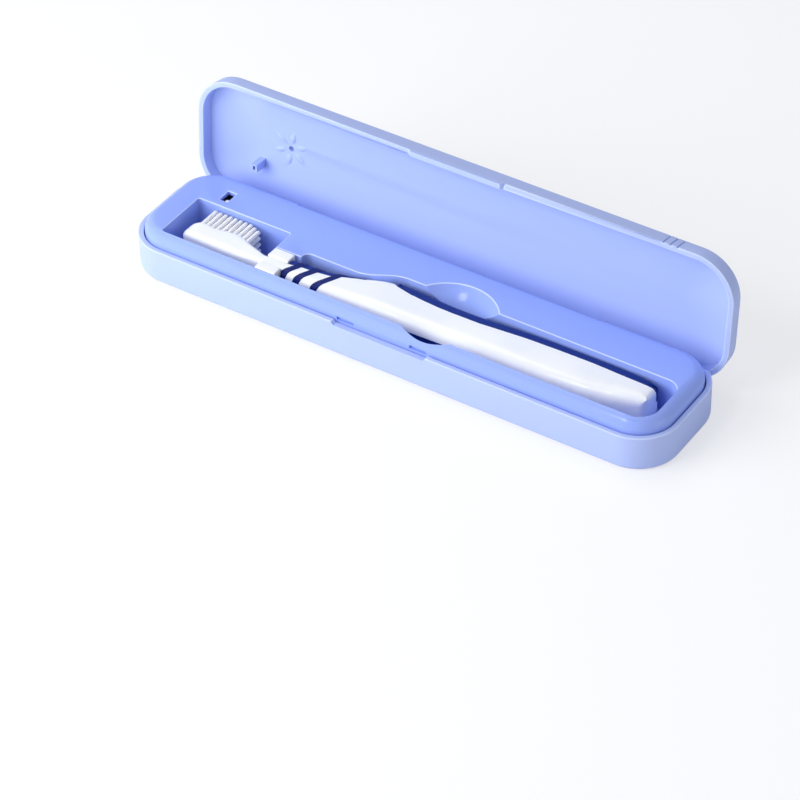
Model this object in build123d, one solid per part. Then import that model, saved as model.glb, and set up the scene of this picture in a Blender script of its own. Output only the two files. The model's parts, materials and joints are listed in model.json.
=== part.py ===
from build123d import *
import os
from math import cos, hypot, pi, radians, sin, sqrt

# Travel case that cleans a toothbrush with ultraviolet light. Millimetres.
# X runs along the case from the brush head to the handle end, -Y is the front, Z is up.
# The origin is the middle of the flat underside. The lid is drawn shut and turned open at the end.

# Case outline, shared by the base and the lid
case_length = 215.0
case_width = 48.5
corner_radius = 15.5
shell_wall = 2.0
rim_height = 13.9
floor_thickness = 1.8
underside_round = 2.3

# Lid
lid_wall_height = 5.4
lid_crease_inset = 0.5
lid_flat_half = 2.6
corner_fade = 1.6
lid_crown_rise = 5.7
lid_top_wall = 2.2

# Hinge
hinge_y = 19.75
hinge_z = 11.25
lid_open_angle = 94.3
pin_diameter = 1.6
pin_rail_clearance = 0.02
pin_lug_clearance = 0.05
pin_grip = 5.0
barrel_radius = 2.35
lug_width = 8.0
lug_offset = 52.0
lug_side_clearance = 0.3
corner_start = 90.0
corner_clearance = 0.35
hinge_zone_half = 62.0
rail_half = 60.0
swing_clearance = 0.35
hinge_wall = 1.6

# Tray that fills the base
tray_gap = 0.4
tray_wall = 1.6
deck_height = 19.0
deck_round = 4.5
tray_skirt_bottom = 11.0
tray_rear_bottom = 14.05
tray_step_y = 18.9
shelf_height = 1.2
shelf_width = 1.5
seat_gap = 0.05

# Pockets in the tray
pocket_wall = 1.4
pocket_floor_top = 5.4
pocket_floor_thickness = 1.8
pocket_front = -18.5
head_pocket_left = -93.6
head_pocket_right = -54.3
head_pocket_back = 3.8
channel_left = -43.7
channel_right = 101.0
channel_narrow_back = -2.3
channel_back = 3.9
channel_back_corner = 5.0
channel_front_corner = 8.0
channel_start_round = 2.6
swell_start = -24.0
swell_end = -5.0
clip_pocket_back = -5.3
clip_floor_top = 8.6

# Finger reliefs beside the handle
thumb_centre_x = 16.0
thumb_half_width = 14.7
thumb_reach = 7.7
thumb_bottom = 12.4
relief_centre_x = 15.5
relief_half_width = 10.0
relief_depth = 2.3
relief_bottom = 10.0

# Front latch and thumb tab
latch_offset = 14.6
latch_length = 6.8
latch_bottom = 13.6
latch_height = 1.3
latch_depth = 0.9
ridge_length = 6.0
ridge_height = 0.8
ridge_proud = 0.25
tab_half_width = 19.0
tab_drop = 1.1
tab_slope = 1.2
tab_clearance = 0.12

# Switch that the closing lid works
switch_x = -85.3
switch_y = 9.2
window_length = 3.4
window_width = 5.6
window_y = 9.8
plunger_travel = 0.8
plunger_diameter = 1.7
plunger_head_top = 17.35
plunger_clearance = 0.08
switch_length = 6.4
switch_width = 5.8
switch_top = 15.9
switch_bore_depth = 4.4
plunger_length = 4.8
prong_length = 2.4
prong_width = 3.0
prong_wall = 0.7
prong_clearance = 0.05

# Main board and its parts
board_left = -101.5
board_right = -64.0
board_front = 6.3
board_back = 16.3
board_thickness = 1.2
board_bottom = 8.2
board_post_diameter = 4.2
board_post_spots = ((-94.5, 13.4), (-66.7, 11.3))
board_screw_diameter = 1.6
board_screw_head = 3.0
board_screw_head_height = 1.0
board_screw_length = 5.0
socket_length = 7.4
socket_width = 8.9
socket_height = 3.2
socket_y = 10.6
socket_recess = 1.6
socket_wall = 0.35
socket_tongue = 0.7
chip_size = 4.0
chip_height = 0.9
chip_spot = (-77.5, 13.4)
coil_diameter = 5.0
coil_height = 3.0
coil_core_diameter = 2.2
coil_spot = (-72.6, 9.6)

# Ultraviolet lamp under the brush head
lens_length = 20.0
lens_width = 7.0
lens_thickness = 1.1
lens_x = -74.0
lens_y = -12.5
lens_clearance = 0.15
lamp_opening_margin = 1.1
lamp_board_thickness = 0.8
lamp_board_length = 24.0
lamp_board_width = 9.0
led_count = 3
led_pitch = 6.0
led_size = 3.0
led_height = 0.7
reflector_height = 0.9

# Rechargeable cell
cell_diameter = 10.0
cell_length = 44.0
cell_left = -47.0
cell_y = 11.8
cell_pad_height = 0.6
cell_pad_width = 4.0
cell_nub_diameter = 3.6
cell_nub_height = 1.0

# Case screws, from below into the tray
screw_spots = ((-99.3, -6.0), (-56.0, 12.0), (36.0, 12.5), (92.0, 12.5))
screw_diameter = 2.0
screw_length = 11.0
screw_head_diameter = 3.8
screw_head_height = 1.4
screw_hole_clearance = 0.15
screw_seat_height = 3.0
post_diameter = 6.6
post_top = 8.0
boss_diameter = 5.2
plug_thickness = 1.3
plug_clearance = 0.1
plug_inset = 0.1

# Vent flower and end grooves in the lid
vent_x = -73.5
vent_hole_diameter = 2.1
petal_count = 6
petal_turn = 40.0
petal_ring = 4.9
petal_half_length = 2.3
petal_half_width = 1.25
petal_depth = 0.45
petal_lift = 1.5
groove_front_x = 79.8
groove_back_x = 95.6
groove_bow = 1.0
groove_pitch = 2.7
groove_width = 0.5
groove_depth = 0.35
groove_count = 3

# Toothbrush, lying on its side with its bristles to the rear
brush_floor_gap = 0.12
clip_left = -54.2
clip_right = -46.0
clip_front = -18.4
clip_back = -5.7
clip_top = 19.2
clip_groove_floor = 11.1
neck_front = -14.4
neck_back = -10.3
neck_top = 18.6
neck_clearance = 0.06
handle_left = -45.5
handle_end_round = 1.4
head_front = -13.6
head_face = -4.6
head_bottom = 6.0
head_top = 17.2
head_left = -89.5
ring_fronts = (-45.0, -39.3, -32.1)
ring_line_y = -15.5
ring_slant = 27.0
ring_width = 1.9
ring_depth = 0.6
ring_proud = 0.12
grip_line = ((-10.6, 3.4), (-7.4, 1.0), (-2.4, -0.4), (10.4, -1.5), (26.0, -1.3), (44.0, 0.4), (58.0, 0.9),
             (90.0, 0.8), (97.0, 0.8))
side_grip_x = (-3.0, 36.0)
side_grip_y = -12.4
side_grip_top = 12.6
bristle_slice = 0.8
bristle_left = -86.0
bristle_right = -65.2
bristle_bottom = 8.0
bristle_top = 15.8
bristle_columns = 10
bristle_rows = 4
bristle_length = 7.4
strand_size = 0.42
strand_pitch = 0.6
strand_side = 3

# Worked out from the sizes above
half_length = case_length / 2
half_width = case_width / 2
lid_side_top = rim_height + lid_wall_height
case_height = lid_side_top + lid_crown_rise
gutter_y = (
    hinge_y
    + (half_width - hinge_y) * cos(radians(lid_open_angle))
    + (rim_height - hinge_z) * sin(radians(lid_open_angle))
    - swing_clearance
)
gutter_z = (
    hinge_z
    - (half_width - hinge_y) * sin(radians(lid_open_angle))
    + (rim_height - hinge_z) * cos(radians(lid_open_angle))
    - swing_clearance
)
hinge_wall_inside = gutter_y - hinge_wall
tray_inset = shell_wall + tray_gap
tray_back = half_width - tray_inset
pocket_floor_bottom = pocket_floor_top - pocket_floor_thickness
board_top = board_bottom + board_thickness
neck_bottom = clip_groove_floor + neck_clearance
hinge_axis = Axis((0, hinge_y, hinge_z), (1, 0, 0))


def slab(inset, bottom, top):
    """Prism of the case outline, drawn in by inset all round."""
    outline = RectangleRounded(case_length - 2 * inset, case_width - 2 * inset, corner_radius - inset)
    return Pos(0, 0, bottom) * extrude(outline, top - bottom)


def block(x, y, z):
    """Box between two values on each axis."""
    size = (x[1] - x[0], y[1] - y[0], z[1] - z[0])
    return Pos((x[0] + x[1]) / 2, (y[0] + y[1]) / 2, (z[0] + z[1]) / 2) * Box(*size)


def rod(x, y, bottom, top, diameter):
    """Upright cylinder."""
    return Pos(x, y, (bottom + top) / 2) * Cylinder(diameter / 2, top - bottom)


def cross_rod(x, y, z, diameter):
    """Cylinder along X between two values of x."""
    return Pos((x[0] + x[1]) / 2, y, z) * Rot(0, 90, 0) * Cylinder(diameter / 2, x[1] - x[0])


def yz_profile(points, x):
    """Closed outline of (y, z) points, extruded between two values of x."""
    wire = Polyline(*[(y, z) for y, z in points], close=True)
    face = Plane(origin=(x[0], 0, 0), x_dir=(0, 1, 0), z_dir=(1, 0, 0)) * make_face(wire)
    return extrude(face, x[1] - x[0])


def edges_at(solid, height):
    """Edges that lie wholly at one height."""
    found = solid.edges().filter_by(lambda e: abs(e.bounding_box().min.Z - height) < 1e-4)
    return found.filter_by(lambda e: abs(e.bounding_box().max.Z - height) < 1e-4)


# Base shell
def lug_spans(clearance):
    """Stretch of x that each hinge lug takes, with clearance."""
    reach = lug_width / 2 + clearance
    return [(side * lug_offset - reach, side * lug_offset + reach) for side in (-1, 1)]


def hinge_barrel():
    """Rail that holds the hinge pins, let into the rear wall."""
    rail = cross_rod((-rail_half, rail_half), hinge_y, hinge_z, 2 * barrel_radius)
    back = block((-rail_half, rail_half), (hinge_y, gutter_y), (gutter_z, hinge_z + barrel_radius))
    return rail + back


def pin_span(side):
    """Stretch of x of one hinge pin, from the rail's end past the lug."""
    inner = lug_offset - lug_width / 2 - pin_grip
    return tuple(sorted((side * inner, side * (rail_half - 0.5))))


def rear_cut():
    """Space behind the rear wall that the lid's edge swings into."""
    reach = half_length + 1
    return block((-reach, reach), (gutter_y, half_width + 1), (gutter_z, rim_height + 1))


def corner_relief():
    """Rounds the rear corners of the rim, so that the lid's corners swing past them."""
    cut = Part()
    for side in (-1, 1):
        x = tuple(sorted((side * corner_start, side * (half_length + 1))))
        knuckle = cross_rod(x, hinge_y, hinge_z, 2 * (rim_height - hinge_z - corner_clearance))
        cut += block(x, (hinge_y, half_width + 1), (hinge_z, rim_height + 1)) - knuckle
    return cut


def base_cavity():
    """Inside of the base, narrower above the gutter where the hinge wall stands."""
    lower = slab(shell_wall, floor_thickness, gutter_z - hinge_wall)
    upper = slab(shell_wall, gutter_z - hinge_wall, rim_height + 1)
    reach = half_length + 1
    kept = block((-reach, reach), (-half_width, hinge_wall_inside), (0, rim_height + 2))
    return lower + (upper & kept)


def tab_recess(clearance, top):
    """Dip in the front rim with sloped ends."""
    half = tab_half_width + clearance
    low = rim_height - tab_drop - clearance
    outline = Polyline(
        (-half, rim_height), (-half + tab_slope, low), (half - tab_slope, low), (half, rim_height),
        (half, top), (-half, top), close=True,
    )
    face = Plane(origin=(0, -half_width - 1, 0), x_dir=(1, 0, 0), z_dir=(0, -1, 0)) * make_face(outline)
    return extrude(face, -(1 + shell_wall + tray_gap / 2))


def base_shell():
    shell = slab(0, 0, rim_height)
    shell = fillet(edges_at(shell, 0), underside_round)
    shell -= base_cavity()
    shell -= rear_cut()
    shell -= corner_relief()
    shell += hinge_barrel()
    shelf_top = tray_skirt_bottom - seat_gap
    shelf = slab(shell_wall - 0.2, shelf_top - shelf_height, shelf_top)
    shelf -= slab(shell_wall + shelf_width, shelf_top - 2 * shelf_height, shelf_top + 1)
    shell += shelf & block((-half_length, half_length), (-half_width, 14), (0, rim_height))
    for span in lug_spans(lug_side_clearance):
        shell -= block(span, (hinge_y - barrel_radius - 0.4, half_width + 1), (gutter_z, rim_height + 1))
    for side in (-1, 1):
        inner, outer = sorted(pin_span(side), key=abs)
        bore = (inner, side * (rail_half + 1))
        shell -= cross_rod(tuple(sorted(bore)), hinge_y, hinge_z, pin_diameter + 2 * pin_rail_clearance)
    for x, y in screw_spots:
        shell += rod(x, y, floor_thickness - 0.2, post_top, post_diameter)
    for x, y in screw_spots:
        shell -= rod(x, y, -1, post_top + 1, screw_diameter + 2 * screw_hole_clearance)
        shell -= rod(x, y, -1, screw_seat_height, screw_head_diameter + 4 * screw_hole_clearance)
    for x, y in board_post_spots:
        shell += rod(x, y, floor_thickness - 0.2, board_bottom, board_post_diameter)
        hole = board_screw_diameter + 2 * pin_rail_clearance
        shell -= rod(x, y, board_top - board_screw_length, board_bottom + 1, hole)
    port = block((-half_length - 1, -half_length + 3 * shell_wall),
                 (socket_y - socket_width / 2 - 0.25, socket_y + socket_width / 2 + 0.25),
                 (board_bottom - socket_height - 0.25, board_bottom + 0.25))
    shell -= port
    shell -= tab_recess(tab_clearance, rim_height + 1)
    return shell


# Tray
def channel_outline(grow):
    """Plan of the handle's channel, grown outwards by grow."""
    left, right = channel_left - grow, channel_right + grow
    front, narrow, wide = pocket_front - grow, channel_narrow_back + grow, channel_back + grow
    start = channel_start_round + grow
    back_r = channel_back_corner + grow
    front_r = channel_front_corner + grow
    bottom = Line((left, front), (right - front_r, front))
    end_low = RadiusArc((right - front_r, front), (right, front + front_r), -front_r)
    end = Line((right, front + front_r), (right, wide - back_r))
    end_high = RadiusArc((right, wide - back_r), (right - back_r, wide), -back_r)
    rear = Line((right - back_r, wide), (swell_end, wide))
    swell = Spline((swell_end, wide), (swell_start, narrow), tangents=((-1, 0), (-1, 0)))
    rear_narrow = Line((swell_start, narrow), (left + start, narrow))
    start_arc = RadiusArc((left + start, narrow), (left, narrow - start), -start)
    side = Line((left, narrow - start), (left, front))
    return make_face(bottom + end_low + end + end_high + rear + swell + rear_narrow + start_arc + side)


def head_outline(grow):
    """Plan of the brush head's pocket."""
    width = head_pocket_right - head_pocket_left
    depth = head_pocket_back - pocket_front
    centre = Pos((head_pocket_left + head_pocket_right) / 2, (pocket_front + head_pocket_back) / 2)
    return centre * RectangleRounded(width + 2 * grow, depth + 2 * grow, 0.9 + grow)


def clip_outline(grow):
    """Plan of the neck clip's shallow pocket, which joins the other two."""
    x = (head_pocket_right - 1, channel_left + 1)
    y = (pocket_front - grow, clip_pocket_back + grow)
    return Pos(sum(x) / 2, sum(y) / 2) * Rectangle(x[1] - x[0], y[1] - y[0])


def pockets(grow, floor, clip_floor, top):
    """All three pockets as one solid."""
    head = Pos(0, 0, floor) * extrude(head_outline(grow), top - floor)
    channel = Pos(0, 0, floor) * extrude(channel_outline(grow), top - floor)
    clip = Pos(0, 0, clip_floor) * extrude(clip_outline(grow), top - clip_floor)
    return head + channel + clip


def tray_outside():
    body = slab(tray_inset, tray_skirt_bottom, deck_height)
    return fillet(edges_at(body, deck_height), deck_round)


def tray_inside():
    body = slab(tray_inset + tray_wall, tray_skirt_bottom - 1, deck_height - tray_wall)
    return fillet(edges_at(body, deck_height - tray_wall), deck_round - tray_wall)


def thumb_ball(grow):
    """Sphere whose cap is the rear thumb scoop."""
    plan_radius = (thumb_half_width ** 2 + thumb_reach ** 2) / (2 * thumb_reach)
    setback = plan_radius - thumb_reach
    drop = deck_height - thumb_bottom
    rise = (plan_radius ** 2 - setback ** 2 - drop ** 2) / (2 * drop)
    radius = hypot(plan_radius, rise)
    centre = Pos(thumb_centre_x, channel_back - setback, deck_height + rise)
    return centre * Rot(90, 0, 0) * Sphere(radius + grow)


def front_relief():
    """Upright cylinder that bites the front edge opposite the thumb scoop."""
    radius = (relief_half_width ** 2 + relief_depth ** 2) / (2 * relief_depth)
    return rod(relief_centre_x, pocket_front - relief_depth + radius, relief_bottom, deck_height + 1, 2 * radius)


def latch_boxes(length, height, outer, depth):
    """One box for each latch, let in from the tray's front face or standing on the lid."""
    boxes = []
    for side in (-1, 1):
        x = side * latch_offset
        boxes.append(block((x - length / 2, x + length / 2), (outer, outer + depth),
                           (latch_bottom, latch_bottom + height)))
    return boxes


def tray():
    reach = half_length + 1
    outside = tray_outside()
    solid = outside - tray_inside()
    pocket_space = block((-reach, reach), (-half_width, half_width), (0, deck_height - tray_wall / 2))
    inner_limit = slab(tray_inset + tray_wall / 2, 0, deck_height)
    solid += pockets(pocket_wall, pocket_floor_bottom, clip_floor_top - pocket_floor_thickness,
                     deck_height) & pocket_space & inner_limit
    bowl = thumb_ball(pocket_wall) & block((-6, 40), (channel_back - 1, tray_step_y - 3),
                                           (thumb_bottom - 3, deck_height - tray_wall / 2))
    solid += bowl
    bite = block((relief_centre_x - relief_half_width - 2, relief_centre_x + relief_half_width + 2),
                 (-tray_back + 0.3, pocket_front), (relief_bottom - pocket_wall, deck_height - 2))
    solid += bite & outside
    rear_wall = block((-hinge_zone_half - tray_wall, hinge_zone_half + tray_wall),
                      (tray_step_y - tray_wall, tray_step_y), (tray_rear_bottom, deck_height - tray_wall / 2))
    solid += rear_wall
    for side in (-1, 1):
        x = side * (hinge_zone_half + tray_wall / 2)
        solid += block((x - tray_wall / 2, x + tray_wall / 2), (tray_step_y - tray_wall, tray_back - 1),
                       (tray_rear_bottom, deck_height - 4)) & outside
    for x, y in screw_spots:
        boss = rod(x, y, post_top + seat_gap, deck_height - tray_wall / 2, boss_diameter)
        solid += boss
    solid -= block((-hinge_zone_half, hinge_zone_half), (tray_step_y, half_width), (0, deck_height + 1))
    solid -= block((-reach, reach), (hinge_wall_inside - 0.3, half_width), (0, tray_rear_bottom))
    solid -= pockets(0, pocket_floor_top, clip_floor_top, deck_height + 1)
    solid -= thumb_ball(0) & block((-6, 40), (channel_back - 2, tray_step_y), (0, deck_height + 1))
    solid -= front_relief() & block((-20, 50), (-half_width, pocket_front + 1), (0, deck_height + 1))
    for socket in latch_boxes(latch_length, latch_height, -tray_back - 0.5, latch_depth + 0.5):
        solid -= socket
    for x, y in screw_spots:
        solid -= rod(x, y, post_top - 1, screw_seat_height + screw_length + 0.6, screw_diameter + 0.04)
    solid -= block((switch_x - window_length / 2, switch_x + window_length / 2),
                   (window_y - window_width / 2, window_y + window_width / 2), (12, deck_height + 1))
    rim = lens_clearance
    solid -= block((lens_x - lens_length / 2 - rim, lens_x + lens_length / 2 + rim),
                   (lens_y - lens_width / 2 - rim, lens_y + lens_width / 2 + rim),
                   (pocket_floor_top - lens_thickness, pocket_floor_top + 1))
    margin = lamp_opening_margin
    solid -= block((lens_x - lens_length / 2 + margin, lens_x + lens_length / 2 - margin),
                   (lens_y - lens_width / 2 + margin, lens_y + lens_width / 2 - margin),
                   (0, pocket_floor_top))
    return solid


# Lid
def lid_height(inset):
    """Height of the lid's outside at a distance in from its outline."""
    share = 1 - inset / half_width
    return lid_side_top + lid_crown_rise * (1 - share * share)


def lid_section(inset, height):
    """Outline of the lid at one height. Its corners shrink as it draws in."""
    radius = corner_radius * (1 - inset / half_width) ** corner_fade
    return Pos(0, 0, height) * RectangleRounded(case_length - 2 * inset, case_width - 2 * inset, radius)


def lid_form(inset, drop, bottom):
    """Solid of the whole lid, its side walls drawn in by inset and its crown lowered by drop."""
    edge = lid_crease_inset + inset
    steps = [edge, edge + 3.5, edge + 8.0, edge + 13.5, half_width - lid_flat_half]
    top = loft([lid_section(step, lid_height(step) - drop) for step in steps])
    low = lid_section(inset, bottom)
    high = lid_section(edge, lid_height(edge) - drop)
    return loft([low, high], ruled=True) + top


def egg(x, y, z, turn, half_long, half_across):
    """Solid egg shape lying along its turned X axis."""
    face = Ellipse(half_long, half_across) & Pos(0, half_across) * Rectangle(2 * half_long, 2 * half_across)
    return Pos(x, y, z) * Rot(0, 0, turn) * revolve(face, Axis.X)


def petals(drop, lift):
    """Ring of eggs that cut or stand out of a crown lowered by drop, centred lift above it."""
    reach = lift + petal_depth
    stretch = sqrt(1 - (lift / reach) ** 2)
    ring = []
    for index in range(petal_count):
        turn = petal_turn + 360 * index / petal_count
        x = vent_x + petal_ring * cos(radians(turn))
        y = petal_ring * sin(radians(turn))
        surface = lid_height(half_width - abs(y)) - drop
        ring.append(egg(x, y, surface + lift, turn, petal_half_length / stretch, reach))
    return ring


def end_grooves():
    """Thin bands across the lid's right end, as deep as the grooves."""
    middle = (groove_front_x + groove_back_x) / 2 - groove_bow
    line = Spline((groove_front_x, -half_width), (middle, 0), (groove_back_x, half_width))
    strip = trace(line, groove_width)
    band = extrude(Pos(0, 0, rim_height - tab_drop - 1) * strip, case_height)
    bands = [Pos(index * groove_pitch, 0, 0) * band for index in range(groove_count)]
    core = lid_form(groove_depth, groove_depth, rim_height - 1)
    return [cut - core for cut in bands]


def lug(x):
    """Hinge arm from the pin up to the lid's rear wall."""
    arm = ((-1.2, 2.0), (2.7, 5.2), (4.2, 4.0), (4.2, 2.4), (1.2, -2.0))
    span = (x - lug_width / 2, x + lug_width / 2)
    body = yz_profile([(hinge_y + y, hinge_z + z) for y, z in arm], span)
    return body + cross_rod(span, hinge_y, hinge_z, 2 * barrel_radius)


def prong():
    """Hollow finger under the roof that presses the switch when the lid is shut."""
    tip = plunger_head_top - plunger_travel + prong_clearance
    x = (switch_x - prong_length / 2, switch_x + prong_length / 2)
    y = (switch_y - prong_width / 2, switch_y + prong_width / 2)
    outer = block(x, y, (tip, case_height))
    inner_x = (x[0] + prong_wall, x[1] - prong_wall)
    inner_y = (y[0] + prong_wall, y[1] - prong_wall)
    return outer - block(inner_x, inner_y, (tip - 1, case_height - 3 * prong_wall))


def lid_closed():
    outside = lid_form(0, 0, rim_height)
    shell = outside - lid_form(shell_wall, lid_top_wall, rim_height - 1)
    shell += prong() & lid_form(shell_wall / 2, lid_top_wall / 2, 0)
    for bump in petals(lid_top_wall, petal_lift):
        shell += bump & block((vent_x - 12, vent_x + 12), (-12, 12), (0, case_height - lid_top_wall / 2))
    for dish in petals(0, petal_lift):
        shell -= dish
    shell -= rod(vent_x, 0, case_height - 3 * lid_top_wall, case_height + 1, vent_hole_diameter)
    for groove in end_grooves():
        shell -= groove
    for side in (-1, 1):
        shell += lug(side * lug_offset)
    for span in lug_spans(0.5):
        shell -= cross_rod(span, hinge_y, hinge_z, pin_diameter + 2 * pin_lug_clearance)
    shell += tab_form()
    for ridge in latch_boxes(ridge_length, ridge_height, -half_width + shell_wall / 2,
                             shell_wall / 2 + ridge_proud):
        shell += Pos(0, 0, (latch_height - ridge_height) / 2) * ridge
    return shell


def tab_form():
    """Thumb tab below the lid's front edge."""
    dip = tab_recess(0, rim_height + 0.3)
    return dip & block((-half_length, half_length), (-half_width, -half_width + shell_wall), (0, case_height))


def lid_shell():
    return lid_closed().rotate(hinge_axis, -lid_open_angle)


def hinge_pin(side):
    return cross_rod(pin_span(side), hinge_y, hinge_z, pin_diameter)


# Lamp, board and switch
def uv_window():
    size = (lens_length, lens_width, lens_thickness)
    plate = Pos(lens_x, lens_y, pocket_floor_top - lens_thickness / 2) * Box(*size)
    return chamfer(edges_at(plate, pocket_floor_top), 0.25)


def uv_led_board():
    low = floor_thickness
    return block((lens_x - lamp_board_length / 2, lens_x + lamp_board_length / 2),
                 (lens_y - lamp_board_width / 2, lens_y + lamp_board_width / 2),
                 (low, low + lamp_board_thickness))


def led_spots():
    """Place of each lamp along the lens."""
    return [(lens_x + (index - (led_count - 1) / 2) * led_pitch, lens_y) for index in range(led_count)]


def uv_leds():
    low = floor_thickness + lamp_board_thickness
    leds = []
    for x, y in led_spots():
        body = Pos(x, y, low + led_height / 2) * Box(led_size, led_size, led_height)
        dome = Pos(x, y, low + led_height - 0.05) * Sphere(0.9)
        upper = block((x - 2, x + 2), (y - 2, y + 2), (low + led_height / 2, low + led_height + 0.3))
        leds.append(body + (dome & upper))
    return Compound(children=[solid for led in leds for solid in led.solids()])


def uv_reflector():
    low = floor_thickness + lamp_board_thickness
    top = pocket_floor_bottom - seat_gap
    outer = block((lens_x - lens_length / 2, lens_x + lens_length / 2),
                  (lens_y - lens_width / 2, lens_y + lens_width / 2), (low, top))
    for x, y in led_spots():
        bowl = Pos(x, y, low) * loft([
            RectangleRounded(led_size + 0.3, led_size + 0.3, 0.4),
            Pos(0, 0, top - low) * RectangleRounded(led_pitch - 0.6, lens_width - 1.4, 1.0),
        ])
        outer -= bowl
    return outer


def main_board():
    board = block((board_left, board_right), (board_front, board_back), (board_bottom, board_top))
    board = fillet(board.edges().filter_by(Axis.Z), 1.0)
    for x, y in board_post_spots:
        board -= rod(x, y, board_bottom - 1, board_top + 1, board_screw_diameter + 0.2)
    return board


def screw(x, y, head_low, head_top, head_diameter, tip, diameter, cross):
    """Screw with a round head and a cross recess in the outer face of that head."""
    low, high = sorted((head_low, head_top))
    body = rod(x, y, low, high, head_diameter)
    face = high if tip < low else low
    start = low if tip < low else high
    shaft = rod(x, y, min(start, tip), max(start, tip), diameter)
    point = edges_at(shaft, tip)
    body += chamfer(point, diameter / 4)
    depth = (high - low) * 0.55
    for across in ((cross, cross / 4), (cross / 4, cross)):
        body -= Pos(x, y, face) * Box(across[0], across[1], 2 * depth)
    return body


def board_screws():
    screws = []
    for x, y in board_post_spots:
        screws.append(screw(x, y, board_top, board_top + board_screw_head_height, board_screw_head,
                            board_top - board_screw_length + 0.3, board_screw_diameter, 1.8))
    return Compound(children=screws)


def tray_screws():
    screws = []
    for x, y in screw_spots:
        screws.append(screw(x, y, screw_seat_height, screw_seat_height - screw_head_height,
                            screw_head_diameter, screw_seat_height + screw_length, screw_diameter, 2.2))
    return Compound(children=screws)


def screw_plugs():
    plugs = []
    diameter = screw_head_diameter + 4 * screw_hole_clearance - 2 * plug_clearance
    for x, y in screw_spots:
        plugs.append(rod(x, y, plug_inset, plug_inset + plug_thickness, diameter))
    return Compound(children=plugs)


def charging_socket():
    left = -half_length + socket_recess
    right = left + socket_length
    outer = RectangleRounded(socket_width, socket_height, socket_height / 2 - 0.05)
    inner = RectangleRounded(socket_width - 2 * socket_wall, socket_height - 2 * socket_wall,
                             socket_height / 2 - socket_wall - 0.05)
    z = board_bottom - socket_height / 2
    start = Plane(origin=(left, socket_y, z), x_dir=(0, 1, 0), z_dir=(1, 0, 0))
    tube = extrude(start * outer, socket_length) - extrude(start * inner, socket_length - 1.0)
    tongue = block((left + 1.0, right - 0.5), (socket_y - 3.2, socket_y + 3.2),
                   (z - socket_tongue / 2, z + socket_tongue / 2))
    pad = block((board_left, right), (socket_y - 3, socket_y + 3), (board_bottom - 0.6, board_bottom))
    tube += pad - extrude(start * inner, socket_length - 1.0)
    return tube + tongue


def controller_chip():
    x, y = chip_spot
    body = Pos(x, y, board_top + chip_height / 2) * Box(chip_size, chip_size, chip_height)
    body = chamfer(edges_at(body, board_top + chip_height), 0.15)
    return body - rod(x - 1.3, y - 1.3, board_top + chip_height - 0.1, board_top + 2, 0.6)


def boost_coil():
    x, y = coil_spot
    flange = coil_height / 5
    body = rod(x, y, board_top, board_top + flange, coil_diameter)
    body += rod(x, y, board_top + coil_height - flange, board_top + coil_height, coil_diameter)
    for turn in range(5):
        low = board_top + flange + turn * (coil_height - 2 * flange) / 5
        high = low + (coil_height - 2 * flange) / 5
        body += Pos(x, y, (low + high) / 2) * Cylinder(coil_core_diameter - 0.15 * (turn % 2), high - low)
    return body


def switch_body():
    body = Pos(switch_x, switch_y, (board_top + switch_top) / 2) * Box(
        switch_length, switch_width, switch_top - board_top)
    body = chamfer(edges_at(body, switch_top), 0.3)
    return body - rod(switch_x, switch_y, switch_top - switch_bore_depth, switch_top + 1,
                      plunger_diameter + 2 * plunger_clearance)


def switch_plunger():
    stem = rod(switch_x, switch_y, plunger_head_top - plunger_length, plunger_head_top, plunger_diameter)
    return fillet(edges_at(stem, plunger_head_top), 0.4)


# Battery
def battery_cell():
    x = (cell_left, cell_left + cell_length)
    z = floor_thickness + cell_pad_height + cell_diameter / 2
    can = cross_rod(x, cell_y, z, cell_diameter)
    can = fillet(can.edges().filter_by(GeomType.CIRCLE), 0.6)
    nub = cross_rod((x[1] - 0.1, x[1] + cell_nub_height), cell_y, z, cell_nub_diameter)
    return can + nub


def cell_pad():
    z = floor_thickness + cell_pad_height + cell_diameter / 2
    high = floor_thickness + cell_pad_height + 1.2
    pads = []
    for share in (0.2, 0.8):
        x = cell_left + share * cell_length
        pad = block((x - cell_pad_width / 2, x + cell_pad_width / 2), (cell_y - 4, cell_y + 4),
                    (floor_thickness, high))
        pads.append(pad - cross_rod((x - 4, x + 4), cell_y, z, cell_diameter))
    return Compound(children=[solid for pad in pads for solid in pad.solids()])


# Neck clip
def neck_clip():
    low = clip_floor_top + seat_gap
    body = block((clip_left, clip_right), (clip_front, clip_back), (low, clip_top))
    groove = (neck_front - neck_clearance, neck_back + neck_clearance)
    body -= block((clip_left - 1, clip_right + 1), groove, (clip_groove_floor + 2, clip_top + 1))
    body -= block((clip_left - 1, clip_right + 1), groove, (clip_groove_floor, clip_top))
    ends = edges_at(body, clip_top)
    return fillet(ends, 0.5)


# Toothbrush
def oval(x, front, back, low, high, corner):
    """Rounded section of the brush across X."""
    plane = Plane(origin=(x, (front + back) / 2, (low + high) / 2), x_dir=(0, 1, 0), z_dir=(1, 0, 0))
    limit = min(back - front, high - low) / 2
    return plane * RectangleRounded(back - front, high - low, corner * limit)


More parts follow.
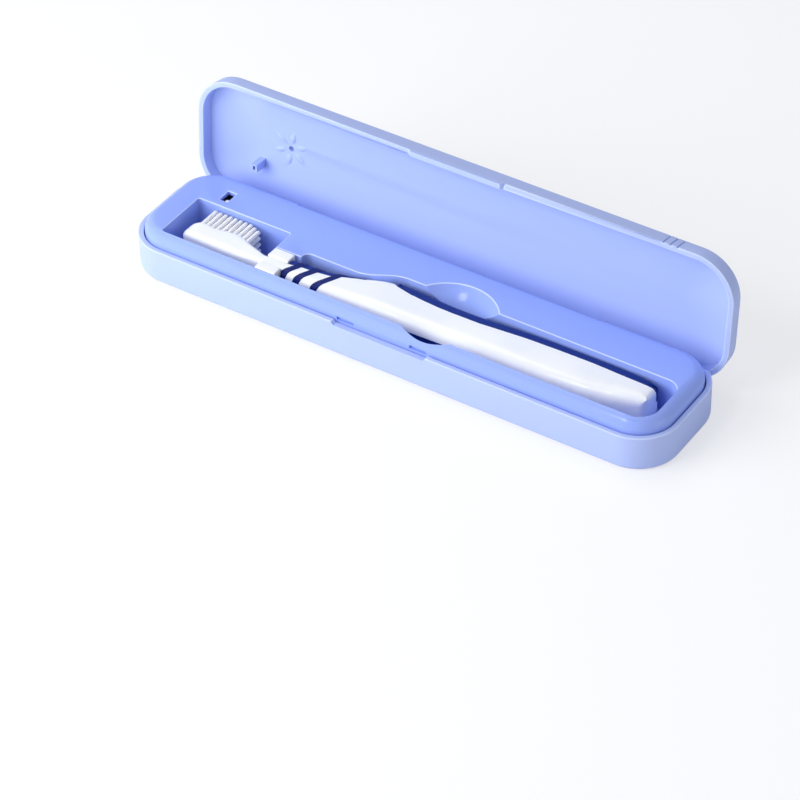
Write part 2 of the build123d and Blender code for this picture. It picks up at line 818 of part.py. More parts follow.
def head_form():
    """Brush head and the start of its neck."""
    stations = (
        (head_left, -11.6, -8.4, 9.4, 14.6),
        (head_left + 0.7, -12.5, -6.8, 8.0, 16.0),
        (head_left + 2.4, -13.2, head_face - 0.5, 6.8, 17.1),
        (head_left + 5.5, head_front, head_face, 6.2, 17.6),
        (-76.0, head_front - 0.3, head_face, 6.2, 17.7),
        (-68.0, head_front - 0.5, head_face - 0.1, 6.4, 17.8),
        (-62.5, neck_front, -7.4, 7.8, 18.2),
        (-58.0, neck_front, -9.3, 9.8, 18.5),
        (clip_left - 0.4, neck_front, neck_back, neck_bottom, neck_top),
    )
    head = loft([oval(*station, 0.45) for station in stations])
    neck = extrude(oval(clip_left - 0.4, neck_front, neck_back, neck_bottom, neck_top, 0.45),
                   handle_left - clip_left + 2.0)
    return head + neck


def handle_stations():
    """Front, back, bottom and top of the handle at each place along X."""
    low = pocket_floor_top + brush_floor_gap
    return (
        (handle_left, -15.4, -6.9, 9.1, 17.4),
        (-42.0, -15.6, -6.4, 8.5, 17.3),
        (-38.0, -15.7, -6.0, 7.2, 17.3),
        (-31.0, -15.7, -5.0, low + 0.4, 17.4),
        (-25.0, -15.6, -3.3, low, 17.8),
        (-18.5, -15.3, -1.5, low, 18.2),
        (-12.0, -15.0, 1.0, low, 18.2),
        (-5.0, -14.6, 1.9, low, 17.8),
        (4.0, -14.0, 1.9, low, 17.3),
        (14.0, -13.6, 1.7, low, 17.0),
        (28.0, -13.3, 2.0, low, 17.0),
        (45.0, -13.2, 3.1, low, 17.0),
        (60.0, -13.0, 3.4, low, 17.0),
        (73.0, -12.0, 3.4, low, 17.0),
        (82.0, -10.2, 3.3, low, 17.0),
        (89.0, -8.2, 2.6, low, 17.0),
        (93.8, -6.8, 1.2, low + 0.6, 16.4),
    )


def handle_form(grow):
    """Handle with its soft grip, every section grown outwards by grow."""
    sections = []
    for x, front, back, bottom, top in handle_stations():
        sections.append(oval(x, front - grow, back + grow, bottom - grow, top + grow, 0.42))
    return loft(sections)


def handle_solid():
    """Handle with its far end rounded."""
    handle = handle_form(0)
    end = handle_stations()[-1][0]
    rim = handle.edges().filter_by(lambda e: e.bounding_box().min.X > end - 0.01)
    return fillet(rim, handle_end_round)


def ring_band(grow_out, grow_in):
    """Three slanted bands round the handle, between two offsets of its surface."""
    bands = []
    outer = handle_form(grow_out)
    inner = handle_form(grow_in)
    for x in ring_fronts:
        slice_block = Pos(x, ring_line_y, case_height / 2) * Rot(0, 0, -ring_slant) * Box(
            ring_width, 3 * corner_radius, case_height)
        bands.append((outer & slice_block) - inner)
    return bands


def grip_regions():
    """Space behind the line where the rear grip starts, and of the panel on the front."""
    line = Spline(*grip_line)
    rear = Polyline(grip_line[-1], (grip_line[-1][0], half_width), (grip_line[0][0], half_width), grip_line[0])
    behind = extrude(make_face(line + rear), case_height)
    panel = block(side_grip_x, (-half_width, side_grip_y), (0, side_grip_top))
    return [behind, panel]


def brush_body():
    body = head_form() + handle_solid()
    for band in ring_band(ring_proud, -ring_depth):
        body -= band
    for region in grip_regions():
        body -= region
    slot = block((bristle_left - 0.4, bristle_right + 0.4),
                 (head_face - bristle_slice, head_face + 1), (bristle_bottom - 0.4, bristle_top + 0.4))
    return body - slot


def brush_rings():
    bands = ring_band(ring_proud, -ring_depth)
    return Compound(children=[solid for band in bands for solid in band.solids()])


def brush_grip():
    handle = handle_solid()
    strips = [handle & region for region in grip_regions()]
    return Compound(children=[solid for strip in strips for solid in strip.solids()])


def strand_offsets():
    """Place of each strand in its tuft, along one direction."""
    return [(index - (strand_side - 1) / 2) * strand_pitch for index in range(strand_side)]


def brush_bristles():
    back = block((bristle_left - 0.35, bristle_right + 0.35), (head_face - bristle_slice, head_face),
                 (bristle_bottom - 0.35, bristle_top + 0.35))
    strands = []
    for column in range(bristle_columns):
        x = bristle_left + 1 + (bristle_right - bristle_left - 2) * column / (bristle_columns - 1)
        trim = 1.2 if column in (0, bristle_columns - 1) else 0
        for row in range(bristle_rows):
            z = bristle_bottom + 1 + (bristle_top - bristle_bottom - 2) * row / (bristle_rows - 1)
            for dx in strand_offsets():
                for dz in strand_offsets():
                    strands.append(block((x + dx - strand_size / 2, x + dx + strand_size / 2),
                                         (head_face - 0.2, head_face + bristle_length - trim),
                                         (z + dz - strand_size / 2, z + dz + strand_size / 2)))
    return back.fuse(*strands)


if __name__ == "__main__":
    nodes = {
        "base_shell": base_shell,
        "tray": tray,
        "lid_shell": lid_shell,
        "neck_clip": neck_clip,
        "uv_window": uv_window,
        "uv_reflector": uv_reflector,
        "uv_leds": uv_leds,
        "uv_led_board": uv_led_board,
        "main_board": main_board,
        "controller_chip": controller_chip,
        "boost_coil": boost_coil,
        "charging_socket": charging_socket,
        "switch_body": switch_body,
        "switch_plunger": switch_plunger,
        "battery_cell": battery_cell,
        "cell_pad": cell_pad,
        "tray_screws": tray_screws,
        "board_screws": board_screws,
        "screw_plugs": screw_plugs,
        "brush_body": brush_body,
        "brush_grip": brush_grip,
        "brush_rings": brush_rings,
        "brush_bristles": brush_bristles,
    }
    os.makedirs("parts", exist_ok=True)
    for name, build in nodes.items():
        export_step(build(), f"parts/{name}.step")
    export_step(hinge_pin(-1), "parts/hinge_pin_left.step")
    export_step(hinge_pin(1), "parts/hinge_pin_right.step")
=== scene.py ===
import json
import math

import bmesh
import bpy
from mathutils import Matrix, Vector

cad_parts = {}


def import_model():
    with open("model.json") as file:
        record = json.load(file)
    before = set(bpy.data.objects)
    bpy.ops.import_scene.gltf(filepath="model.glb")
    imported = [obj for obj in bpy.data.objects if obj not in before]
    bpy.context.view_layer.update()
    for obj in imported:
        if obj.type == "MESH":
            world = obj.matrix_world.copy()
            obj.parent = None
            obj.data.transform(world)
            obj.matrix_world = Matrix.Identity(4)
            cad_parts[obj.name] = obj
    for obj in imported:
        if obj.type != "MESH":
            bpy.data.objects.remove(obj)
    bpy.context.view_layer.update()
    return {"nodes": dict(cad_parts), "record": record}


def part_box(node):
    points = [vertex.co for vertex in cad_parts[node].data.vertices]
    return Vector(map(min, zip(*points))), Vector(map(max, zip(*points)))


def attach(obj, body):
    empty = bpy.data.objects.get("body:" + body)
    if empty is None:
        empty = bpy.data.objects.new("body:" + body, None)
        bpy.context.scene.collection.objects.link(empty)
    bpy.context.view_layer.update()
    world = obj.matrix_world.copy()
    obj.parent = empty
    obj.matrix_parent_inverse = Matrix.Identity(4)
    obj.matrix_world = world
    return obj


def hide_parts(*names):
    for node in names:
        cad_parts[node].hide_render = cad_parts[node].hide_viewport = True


# Metres, in the part's own frame: X along the case, -Y the front, Z up.
MM = 0.001

# How near two points of a CAD mesh are one, and how near a cut a point lies on it
MERGE_DISTANCE = 2e-6
CUT_DISTANCE = 1e-6
# An edge that bends less is shaded smooth, one that bends more is sharp enough to round
SMOOTH_BEND = math.radians(28)
SHARP_BEND = math.radians(35)
# Faces of a rim that bend less are joined into one before its edges are rounded
FLAT_BEND = math.radians(0.05)

# Case and lid, the same values as the source
CASE_WIDTH = 48.5 * MM
RIM_HEIGHT = 13.9 * MM
HINGE_Y = 19.75 * MM
HINGE_Z = 11.25 * MM
LID_OPEN = math.radians(94.3)

DECK_HEIGHT = 19.0 * MM

# Rim plane, and the small round that the mould leaves on its edges
EDGE_ROUNDS = {
    "tray": (DECK_HEIGHT, 0.28 * MM),
    "base_shell": (RIM_HEIGHT, 0.35 * MM),
    "lid_shell": (RIM_HEIGHT, 0.35 * MM),
}
RIM_SEGMENTS = 3
RIM_SEAT = 0.01 * MM
# How near the rim plane a point lies on it
RIM_NEAR = 0.01 * MM

# Brush head
HEAD_FACE_Y = -4.6 * MM
BRISTLE_LENGTH = 7.4 * MM
BRISTLE_ROOT = 1.6 * MM
TUFT_COLUMNS = 10
TUFT_ROWS = 4
TUFT_LOW = 8.9 * MM
TUFT_HIGH = 16.7 * MM
TUFT_MARGIN = 1.1 * MM
# The last two columns are cut shorter
TUFT_TRIM = {8: 0.8 * MM, 9: 1.7 * MM}
TUFT_STRANDS = 26
TUFT_RADIUS = 0.7 * MM
TUFT_DOME = 0.5 * MM
STRAND_WIDTH = 0.44 * MM
# Share of its width that a strand has at its tip
STRAND_TIP = 0.7
STRAND_SIDES = 6

# Navy bands round the neck end of the handle
RING_PROUD = 0.12 * MM
RING_SLANT = math.radians(27)
RING_WIDER = 1.2

# Brush handle, tables of (x, value): its sections are the same as the source's
HANDLE_START = -45.5 * MM
HANDLE_END = 93.8 * MM
END_ROUND = 2.6 * MM
BRUSH_FRONT = -16 * MM
BRUSH_TOP = 18.5 * MM
SIDE_CUTS = 7
END_CUTS = 5
END_CUT_PITCH = 0.6 * MM
HANDLE_TOP = [(x * MM, z * MM) for x, z in (
    (-45.5, 17.4), (-42.0, 17.3), (-38.0, 17.3), (-31.0, 17.4), (-25.0, 17.8), (-18.5, 18.2),
    (-12.0, 18.2), (-5.0, 17.8), (4.0, 17.3), (14.0, 17.0), (93.8, 17.0))]
HANDLE_FRONT = [(x * MM, y * MM) for x, y in (
    (-45.5, -15.4), (-42.0, -15.6), (-38.0, -15.7), (-31.0, -15.7), (-25.0, -15.6), (-18.5, -15.3),
    (-12.0, -15.0), (-5.0, -14.6), (4.0, -14.0), (14.0, -13.6), (28.0, -13.3), (45.0, -13.2),
    (60.0, -13.0), (73.0, -12.0), (82.0, -10.2), (89.0, -8.2), (93.8, -6.8))]
HANDLE_BACK = [(x * MM, y * MM) for x, y in (
    (-12.0, 1.0), (-5.0, 1.9), (14.0, 1.7), (28.0, 2.0), (45.0, 3.1), (60.0, 3.4), (73.0, 3.4),
    (82.0, 3.3), (89.0, 2.6), (93.8, 1.2))]
# Round of the rear top corner, by the photograph
GRIP_START = -8.0 * MM
GRIP_TOP = 17 * MM
GRIP_ROUND = 2.4 * MM
GRIP_SQUARENESS = 5
# Where the navy begins on the top of the brush, by the photograph. Behind it the navy is partly the rubber
# grip and partly painted shade along the rear edge
NAVY_AND_SHADE_FLOOR = 11.0 * MM
NAVY_AND_SHADE_LINE = [(x * MM, y * MM) for x, y in (
    (-46.0, -10.4), (-42.0, -9.8), (-38.0, -9.4), (-31.0, -8.2), (-25.0, -6.0), (-18.5, -3.5),
    (-15.5, 2.5), (-12.0, 2.5), (-10.6, 1.2), (-7.4, -0.6), (-2.4, -1.4), (3.0, -1.75), (10.4, -2.05),
    (26.0, -1.85), (44.0, -0.35), (58.0, 0.1), (70.0, 0.2), (84.0, -0.3), (97.0, -0.5))]
# Round of the front top edge, and how far the top rises to meet the neck
HANDLE_ROUND = [(x * MM, r * MM) for x, r in (
    (-45.5, 3.0), (-30.0, 3.4), (-10.0, 4.6), (30.0, 5.2), (80.0, 4.8), (93.8, 3.4))]
HANDLE_RISE = [(x * MM, z * MM) for x, z in (
    (-45.5, 1.15), (-38.0, 1.1), (-28.0, 0.5), (-18.0, 0.0), (93.8, 0.0))]
RISE_FROM = 9 * MM
RISE_SPAN = 8 * MM

# Stage
FLOOR_HALF = 6.0
PAPER = "#ECEDF1"
PAPER_TO_CAMERA = "#AFB0B4"
FLOOR_LIFT = 0.58
SURROUNDINGS = 0.4
LAMP_TARGET = (0, 0, 0.02)

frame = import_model()


def linear(hex_code):
    """An sRGB hex colour as the linear values Blender mixes with."""
    parts = [int(hex_code[i:i + 2], 16) / 255 for i in (1, 3, 5)]
    curve = [v / 12.92 if v <= 0.04045 else ((v + 0.055) / 1.055) ** 2.4 for v in parts]
    return (*curve, 1.0)


def add_node(tree, kind, settings=None, inputs=None):
    """Adds a node, sets its properties, and sets or links its inputs."""
    node = tree.nodes.new(kind)
    for name, value in (settings or {}).items():
        setattr(node, name, value)
    for name, value in (inputs or {}).items():
        if isinstance(value, bpy.types.NodeSocket):
            tree.links.new(value, node.inputs[name])
        else:
            node.inputs[name].default_value = value
    return node


def plastic(name, colour, roughness, **extra):
    """A moulded plastic. extra names further sockets of the shader."""
    material = bpy.data.materials.new(name)
    material.use_nodes = True
    tree = material.node_tree
    shader = tree.nodes["Principled BSDF"]
    shader.inputs["Base Color"].default_value = linear(colour)
    shader.inputs["Roughness"].default_value = roughness
    for socket, value in extra.items():
        shader.inputs[socket.replace("_", " ")].default_value = value
    return material


def fine_texture(material, size_mm, depth_mm, strength):
    """Fine grain of a spark-eroded mould, from its real size and depth in millimetres."""
    tree = material.node_tree
    place = add_node(tree, "ShaderNodeTexCoord")
    noise = add_node(tree, "ShaderNodeTexNoise", inputs={
        "Vector": place.outputs["Object"], "Scale": 1 / (size_mm * MM), "Detail": 2.0})
    bump = add_node(tree, "ShaderNodeBump", inputs={
        "Height": noise.outputs["Fac"], "Strength": strength, "Distance": depth_mm * MM})
    tree.links.new(bump.outputs["Normal"], tree.nodes["Principled BSDF"].inputs["Normal"])


# ABS from a spark-eroded mould: an even soft sheen outside
satin_abs = plastic("satin_abs", "#B4C5F9", 0.34, IOR=1.53)
fine_texture(satin_abs, 0.35, 0.02, 0.25)
# ABS from the polished side of the mould: sharp reflections inside the lid
gloss_abs = plastic("gloss_abs", "#B2C4FB", 0.08, IOR=1.53)
# Polished ABS of a deeper blue: glossy, with its highlights held low
tray_abs = plastic("tray_gloss_abs", "#98AFFA", 0.13, IOR=1.38)
# A lighter blue painted on the small rounds along the rims: a painted highlight
painted_highlight_abs = plastic("painted_highlight_abs", "#CCDAFE", 0.1, IOR=1.53)
# Polypropylene from a polished mould: white with a soft gloss
clip_pp = plastic("white_polypropylene", "#FAFCFE", 0.22, IOR=1.49)
brush_pp = plastic("brush_white_polypropylene", "#FBFDFD", 0.2, IOR=1.49)
# Soft rubber moulded over the handle: deep navy with a dull sheen. The same navy is painted on the white's
# rear edge, partly as painted shade
navy_tpe = plastic("navy_soft_rubber", "#0A2B80", 0.36, IOR=1.36)
ring_tpe = plastic("ring_soft_rubber", "#061B68", 0.38, IOR=1.36)
# Drawn nylon strands: white and even
nylon = plastic("bristle_nylon", "#FFFFFE", 0.4, IOR=1.53)
# Polished quartz: clear, with sharp reflections
quartz = plastic("quartz_glass", "#DFE6EE", 0.05, IOR=1.46, Transmission_Weight=0.85)
# Zinc-plated steel: bright with blurred reflections
steel = plastic("zinc_plated_steel", "#B9BDC4", 0.28, Metallic=1.0)
# Fired ceramic, solder mask, moulded resin and ferrite: the dull finishes of the electronics
ceramic = plastic("led_ceramic", "#E8E2C8", 0.35)
board_mask = plastic("green_solder_mask", "#1E6B3C", 0.4)
black_resin = plastic("black_moulding_resin", "#17181B", 0.45)
ferrite = plastic("ferrite_and_wire", "#2B2B2E", 0.5)
# Shrunk film on the cell: smooth and a little glossy
wrap_film = plastic("cell_shrink_film", "#3F7FB8", 0.3)
# Cut foam: no sheen
foam = plastic("closed_cell_foam", "#3A3B3E", 0.85)

FINISHES = {
    "base_shell": satin_abs,
    "tray": tray_abs,
    "lid_shell": satin_abs,
    "neck_clip": clip_pp,
    "uv_window": quartz,
    "uv_reflector": steel,
    "uv_leds": ceramic,
    "uv_led_board": board_mask,
    "main_board": board_mask,
    "controller_chip": black_resin,
    "boost_coil": ferrite,
    "charging_socket": steel,
    "switch_body": black_resin,
    "switch_plunger": clip_pp,
    "battery_cell": wrap_film,
    "cell_pad": foam,
    "hinge_pin_left": steel,
    "hinge_pin_right": steel,
    "tray_screws": steel,
    "board_screws": steel,
    "screw_plugs": satin_abs,
    "brush_body": brush_pp,
    "brush_grip": navy_tpe,
    "brush_rings": ring_tpe,
    "brush_bristles": nylon,
}
SMOOTHED = (
    "base_shell", "tray", "lid_shell", "neck_clip", "uv_window", "switch_plunger",
    "brush_body", "brush_grip", "brush_rings",
)


def paint(obj, material):
    """Gives an object one material."""
    obj.data.materials.clear()
    obj.data.materials.append(material)


def body_name(node):
    """The CAD body that carries a node."""
    for body, members in frame["record"]["behaviour"]["bodies"].items():
        if node in members:
            return body
    return "root"


def finish_piece(name, mesh, body, *nodes):
    """Makes the object of a finished mesh, lets it ride on its body and stand for its nodes."""
    piece = bpy.data.objects.new(name, mesh)
    bpy.context.scene.collection.objects.link(piece)
    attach(piece, body)
    if nodes:
        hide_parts(*nodes)
    return piece


def soften_rim(bm, node):
    """Rounds the sharp edges that lie in the node's rim plane, as a mould does.

    The rims are set back by RIM_SEAT, so that lid and base don't share a face when shut."""
    height, radius = EDGE_ROUNDS[node]
    turn = Matrix.Rotation(LID_OPEN if node == "lid_shell" else 0.0, 3, "X")
    pivot = Vector((0, HINGE_Y, HINGE_Z))

    def in_rim(edge):
        spots = [turn @ (vert.co - pivot) + pivot for vert in edge.verts]
        return all(abs(spot.z - height) < RIM_NEAR for spot in spots)

    if node != "lid_shell":
        flat = [edge for edge in bm.edges if in_rim(edge)]
        around = list(dict.fromkeys(vert for edge in flat for vert in edge.verts))
        bmesh.ops.dissolve_limit(bm, angle_limit=FLAT_BEND, verts=around, edges=flat)
    chosen = []
    for edge in bm.edges:
        if len(edge.link_faces) == 2 and edge.calc_face_angle(0) > SHARP_BEND and in_rim(edge):
            chosen.append(edge)
    rounds = bmesh.ops.bevel(bm, geom=chosen, offset=radius, segments=RIM_SEGMENTS, profile=0.5,
                             affect="EDGES", material=-1, clamp_overlap=False)
    # The rounds take slot 1, the lighter blue of the painted highlight
    for face in rounds["faces"]:
        face.material_index = 1
    seat = RIM_SEAT if node == "lid_shell" else -RIM_SEAT
    back = turn.inverted()
    for vert in bm.verts:
        spot = turn @ (vert.co - pivot) + pivot
        if abs(spot.z - height) < RIM_SEAT / 2:
            spot.z = height + seat
        spot.y = max(spot.y, -CASE_WIDTH / 2)
        vert.co = back @ (spot - pivot) + pivot


def smooth_copy(node):
    """A copy of a CAD node with its doubles merged and its curved faces shaded smooth."""
    bm = bmesh.new()
    bm.from_mesh(frame["nodes"][node].data)
    bmesh.ops.remove_doubles(bm, verts=bm.verts, dist=MERGE_DISTANCE)
    if node in EDGE_ROUNDS:
        soften_rim(bm, node)
    for face in bm.faces:
        face.smooth = True
    for edge in bm.edges:
        edge.smooth = len(edge.link_faces) == 2 and edge.calc_face_angle(0) < SMOOTH_BEND
    mesh = bpy.data.meshes.new(node + "_smooth")
    bm.to_mesh(mesh)
    bm.free()
    flat_normals = mesh.attributes.get("custom_normal")
    if flat_normals:
        mesh.attributes.remove(flat_normals)
    piece = finish_piece(node + "_smooth", mesh, body_name(node), node)
    mesh.materials.append(FINISHES[node])
    # Slot 1 holds the painted highlight of the rounded rim edges
    if node in EDGE_ROUNDS:
        mesh.materials.append(painted_highlight_abs)
    return piece


def blend_at(x, table):
    """Value at x of a table of (x, value) pairs, straight between them."""
    if x <= table[0][0]:
        return table[0][1]
    for (x0, v0), (x1, v1) in zip(table, table[1:]):
        if x <= x1:
            return v0 + (v1 - v0) * (x - x0) / (x1 - x0)
    return table[-1][1]


def round_corner(p, q, p_edge, q_edge, radius):
    """Pulls a point in from a square corner at (p_edge, q_edge) onto a round of the radius.

    The corner is at the low end of p and the high end of q."""
    p_mid, q_mid = p_edge + radius, q_edge - radius
    if p >= p_mid or q <= q_mid:
        return p, q
    reach = math.hypot(p - p_mid, q - q_mid)
    if reach <= radius:
        return p, q
    return p_mid + (p - p_mid) * radius / reach, q_mid + (q - q_mid) * radius / reach


def moulded_brush(piece, proud=0.0):
    """Gives the brush the soft moulded rounds that its straight sections leave out.

    The handle's start rises to the height of the neck, and its front edge and far end are rounded."""
    bm = bmesh.new()
    bm.from_mesh(piece.data)
    cuts = [((0, 1, 0), (0, BRUSH_FRONT + k * MM, 0)) for k in range(1, SIDE_CUTS + 1)]
    cuts += [((0, 0, 1), (0, 0, BRUSH_TOP - k * MM)) for k in range(1, SIDE_CUTS + 1)]
    cuts += [((1, 0, 0), (HANDLE_END - k * END_CUT_PITCH, 0, 0)) for k in range(1, END_CUTS + 1)]
    for normal, place in cuts:
        geometry = bm.verts[:] + bm.edges[:] + bm.faces[:]
        bmesh.ops.bisect_plane(bm, geom=geometry, dist=CUT_DISTANCE, plane_co=place, plane_no=normal)
    for vert in bm.verts:
        x, y, z = vert.co
        if x < HANDLE_START - MM:
            continue
        top = blend_at(x, HANDLE_TOP) + proud
        front = blend_at(x, HANDLE_FRONT) - proud
        radius = blend_at(x, HANDLE_ROUND)
        y, z = round_corner(y, z, front, top, radius)
        y, x = round_corner(y, x, front, HANDLE_END + proud, END_ROUND)
        back_x, z = round_corner(-x, z, -HANDLE_END - proud, top, END_ROUND)
        x = -back_x
        rise = blend_at(x, HANDLE_RISE) * min(1.0, max(0.0, (z - RISE_FROM) / RISE_SPAN))
        vert.co = (x, y, min(z, top) + rise)
    for face in bm.faces:
        face.smooth = True
    bm.to_mesh(piece.data)
    bm.free()


def widen_rings(piece):
    """Widens each navy band along the handle by RING_WIDER, about its own middle."""
    bm = bmesh.new()
    bm.from_mesh(piece.data)
    along = Vector((math.cos(RING_SLANT), -math.sin(RING_SLANT), 0))
    waiting = set(bm.verts)
    while waiting:
        band = [waiting.pop()]
        for vert in band:
            for edge in vert.link_edges:
                other = edge.other_vert(vert)
                if other in waiting:
                    waiting.discard(other)
                    band.append(other)
        places = [vert.co.dot(along) for vert in band]
        middle = (min(places) + max(places)) / 2
        for vert in band:
            vert.co += along * (vert.co.dot(along) - middle) * (RING_WIDER - 1)
    bm.to_mesh(piece.data)
    bm.free()


def navy_edge_and_painted_shade(piece):
    """Paints the rear edge of the brush navy behind the navy line: partly the rubber grip, partly painted
    shade where the edge lies in shadow.
    """
    bm = bmesh.new()
    bm.from_mesh(piece.data)
    for (x0, y0), (x1, y1) in zip(NAVY_AND_SHADE_LINE, NAVY_AND_SHADE_LINE[1:]):
        geometry = []
        for face in bm.faces:
            along = [vert.co.x for vert in face.verts]
            if max(along) > x0 - MM and min(along) < x1 + MM:
                geometry.append(face)
        sides = list(dict.fromkeys(edge for face in geometry for edge in face.edges))
        points = list(dict.fromkeys(vert for face in geometry for vert in face.verts))
        bmesh.ops.bisect_plane(bm, geom=geometry + sides + points, dist=CUT_DISTANCE,
                               plane_co=(x0, y0, 0), plane_no=(y0 - y1, x1 - x0, 0))
    # The navy here is partly the rubber's own colour and partly painted shade
    piece.data.materials.append(navy_tpe)
    for face in bm.faces:
        middle = face.calc_center_median()
        if NAVY_AND_SHADE_LINE[0][0] < middle.x < NAVY_AND_SHADE_LINE[-1][0] and middle.z > NAVY_AND_SHADE_FLOOR:
            if middle.y > blend_at(middle.x, NAVY_AND_SHADE_LINE):
                face.material_index = 1
    bm.to_mesh(piece.data)
    bm.free()


def full_corner(piece):
    """Fills out the rear top corner of the soft grip, which is squarer than the white front."""
    for vert in piece.data.vertices:
        x, y, z = vert.co
        back = blend_at(x, HANDLE_BACK)
        centre_y, centre_z = back - GRIP_ROUND, GRIP_TOP - GRIP_ROUND
        if x < GRIP_START or y < centre_y or z < centre_z:
            continue
        reach = math.hypot(y - centre_y, z - centre_z)
        if reach < CUT_DISTANCE:
            continue
        across, up = (y - centre_y) / reach, (z - centre_z) / reach
        out = (across ** GRIP_SQUARENESS + up ** GRIP_SQUARENESS) ** (-1 / GRIP_SQUARENESS)
        vert.co = (x, centre_y + across * reach * out, centre_z + up * reach * out)


def gloss_inside(piece, is_inside):
    """Gives the polished finish to the faces that is_inside picks by centre and normal."""
    piece.data.materials.append(gloss_abs)
    gloss_slot = len(piece.data.materials) - 1
    for face in piece.data.polygons:
        if face.material_index == 0 and is_inside(face.center, face.normal):
            face.material_index = gloss_slot


def inside_lid(centre, normal):
    """True on the hollow side of the lid, judged in its shut place."""
    turn = Matrix.Rotation(LID_OPEN, 3, "X")
    pivot = Vector((0, HINGE_Y, HINGE_Z))
    shut = turn @ (Vector(centre) - pivot) + pivot
    facing = turn @ Vector(normal)
    if facing.z < -0.3:
        return shut.z > RIM_HEIGHT + MM
    across = Vector((0, shut.y, 0)) if abs(facing.y) > abs(facing.x) else Vector((shut.x, 0, 0))
    return abs(facing.z) < 0.5 and facing.dot(across) < 0


def tuft():
    """Mesh of one tuft along +Y: parallel strands whose tips form a low dome."""
    bm = bmesh.new()
    turn = Matrix.Rotation(math.radians(-90), 4, "X")
    golden = math.pi * (3 - math.sqrt(5))
    for k in range(TUFT_STRANDS):
        reach = TUFT_RADIUS * math.sqrt((k + 0.5) / TUFT_STRANDS)
        length = BRISTLE_LENGTH + BRISTLE_ROOT - TUFT_DOME * (reach / TUFT_RADIUS) ** 3
        place = Matrix.Translation((reach * math.cos(k * golden), length / 2, reach * math.sin(k * golden)))
        bmesh.ops.create_cone(bm, cap_ends=True, segments=STRAND_SIDES, radius1=STRAND_WIDTH / 2,
                              radius2=STRAND_WIDTH / 2 * STRAND_TIP, depth=length, matrix=place @ turn)
    mesh = bpy.data.meshes.new("tuft")
    bm.to_mesh(mesh)
    bm.free()
    return mesh


def bristles():
    """Rows of tufts on the slice of the head that the CAD node gives."""
    low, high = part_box("brush_bristles")
    one = tuft()
    bm = bmesh.new()
    for column in range(TUFT_COLUMNS):
        x = low[0] + TUFT_MARGIN + (high[0] - low[0] - 2 * TUFT_MARGIN) * column / (TUFT_COLUMNS - 1)
        short = TUFT_TRIM.get(column, 0.0)
        for row in range(TUFT_ROWS):
            z = TUFT_LOW + (TUFT_HIGH - TUFT_LOW) * row / (TUFT_ROWS - 1)
            first = len(bm.verts)
            bm.from_mesh(one)
            bm.verts.ensure_lookup_table()
            place = Matrix.Translation((x, HEAD_FACE_Y - BRISTLE_ROOT - short, z))
            bmesh.ops.transform(bm, matrix=place, verts=bm.verts[first:])
    mesh = bpy.data.meshes.new("bristle_tufts")
    bm.to_mesh(mesh)
    bm.free()
    bpy.data.meshes.remove(one)
    piece = finish_piece("bristle_tufts", mesh, "root", "brush_bristles")
    paint(piece, nylon)


for node, obj in frame["nodes"].items():
    if node not in SMOOTHED and node != "brush_bristles":
        paint(obj, FINISHES[node])
pieces = {node: smooth_copy(node) for node in SMOOTHED}
gloss_inside(pieces["lid_shell"], inside_lid)
moulded_brush(pieces["brush_body"])
moulded_brush(pieces["brush_rings"], RING_PROUD)
widen_rings(pieces["brush_rings"])
navy_edge_and_painted_shade(pieces["brush_body"])
full_corner(pieces["brush_grip"])
bristles()


def area_lamp(name, place, size, power):
    """A soft round lamp that faces LAMP_TARGET, with its width in metres and power in watts."""
    light = bpy.data.lights.new(name, "AREA")
    light.shape = "DISK"
    light.size = size
    light.energy = power
    lamp = bpy.data.objects.new(name, light)
    lamp.matrix_world = Matrix.Translation(place) @ (
        (Vector(LAMP_TARGET) - Vector(place)).to_track_quat("-Z", "Y").to_matrix().to_4x4())
    bpy.context.scene.collection.objects.link(lamp)
    return lamp


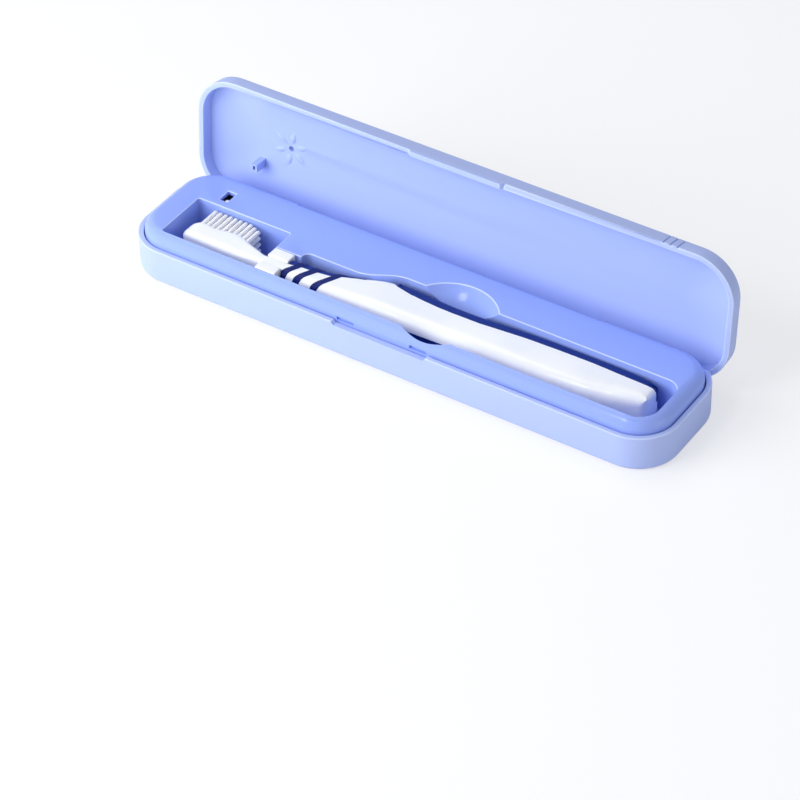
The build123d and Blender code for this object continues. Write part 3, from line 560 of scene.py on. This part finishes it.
def floor():
    """Pale studio floor. To the camera it is a little brighter, so that it reads as white."""
    bm = bmesh.new()
    bmesh.ops.create_grid(bm, x_segments=1, y_segments=1, size=FLOOR_HALF)
    mesh = bpy.data.meshes.new("floor")
    bm.to_mesh(mesh)
    bm.free()
    plane = bpy.data.objects.new("floor", mesh)
    bpy.context.scene.collection.objects.link(plane)
    paper = plastic("pale_paper", PAPER, 0.9)
    tree = paper.node_tree
    shader = tree.nodes["Principled BSDF"]
    shader.inputs["Emission Color"].default_value = linear("#FFFFFF")
    path = add_node(tree, "ShaderNodeLightPath")
    lift = add_node(tree, "ShaderNodeMath", {"operation": "MULTIPLY"})
    tree.links.new(path.outputs["Is Camera Ray"], lift.inputs[0])
    lift.inputs[1].default_value = FLOOR_LIFT
    tree.links.new(lift.outputs[0], shader.inputs["Emission Strength"])
    tone = add_node(tree, "ShaderNodeMix", {"data_type": "RGBA"})
    tree.links.new(path.outputs["Is Camera Ray"], tone.inputs["Factor"])
    tone.inputs["A"].default_value = linear(PAPER)
    tone.inputs["B"].default_value = linear(PAPER_TO_CAMERA)
    tree.links.new(tone.outputs["Result"], shader.inputs["Base Color"])
    paint(plane, paper)


def world():
    """Even pale surroundings."""
    sky = bpy.data.worlds.new("studio")
    bpy.context.scene.world = sky
    sky.use_nodes = True
    back = sky.node_tree.nodes["Background"]
    back.inputs["Color"].default_value = linear("#F2F4FA")
    back.inputs["Strength"].default_value = SURROUNDINGS


def camera():
    """The photograph's camera."""
    data = bpy.data.cameras.new("camera")
    data.lens = 151.19
    data.sensor_width = 36.0
    data.clip_end = 50.0
    obj = bpy.data.objects.new("camera", data)
    right = Vector((0.83687, 0.54716, -0.01660))
    up = Vector((-0.34033, 0.54380, 0.76713))
    back = Vector((0.42876, -0.63633, 0.64130))
    place = Vector((0.49596, -0.74748, 0.72042))
    turn = Matrix((right, up, back)).transposed().to_4x4()
    obj.matrix_world = Matrix.Translation(place) @ turn
    bpy.context.scene.collection.objects.link(obj)
    bpy.context.scene.camera = obj


floor()
world()
camera()
key = area_lamp("key", (-0.42, -0.53, 0.28), 0.6, 4.7)
# The key lamp only lights, so that the tray's front slope shows no mirror image of it
key.visible_glossy = False
area_lamp("top", (-0.4, 0.15, 0.8), 0.6, 1.5)
area_lamp("front", (-0.2, -0.7, 0.9), 0.3, 1.9)
area_lamp("fill", (0.75, -0.02, 0.12), 0.5, 0.9)
bpy.context.scene.view_settings.view_transform = "Standard"
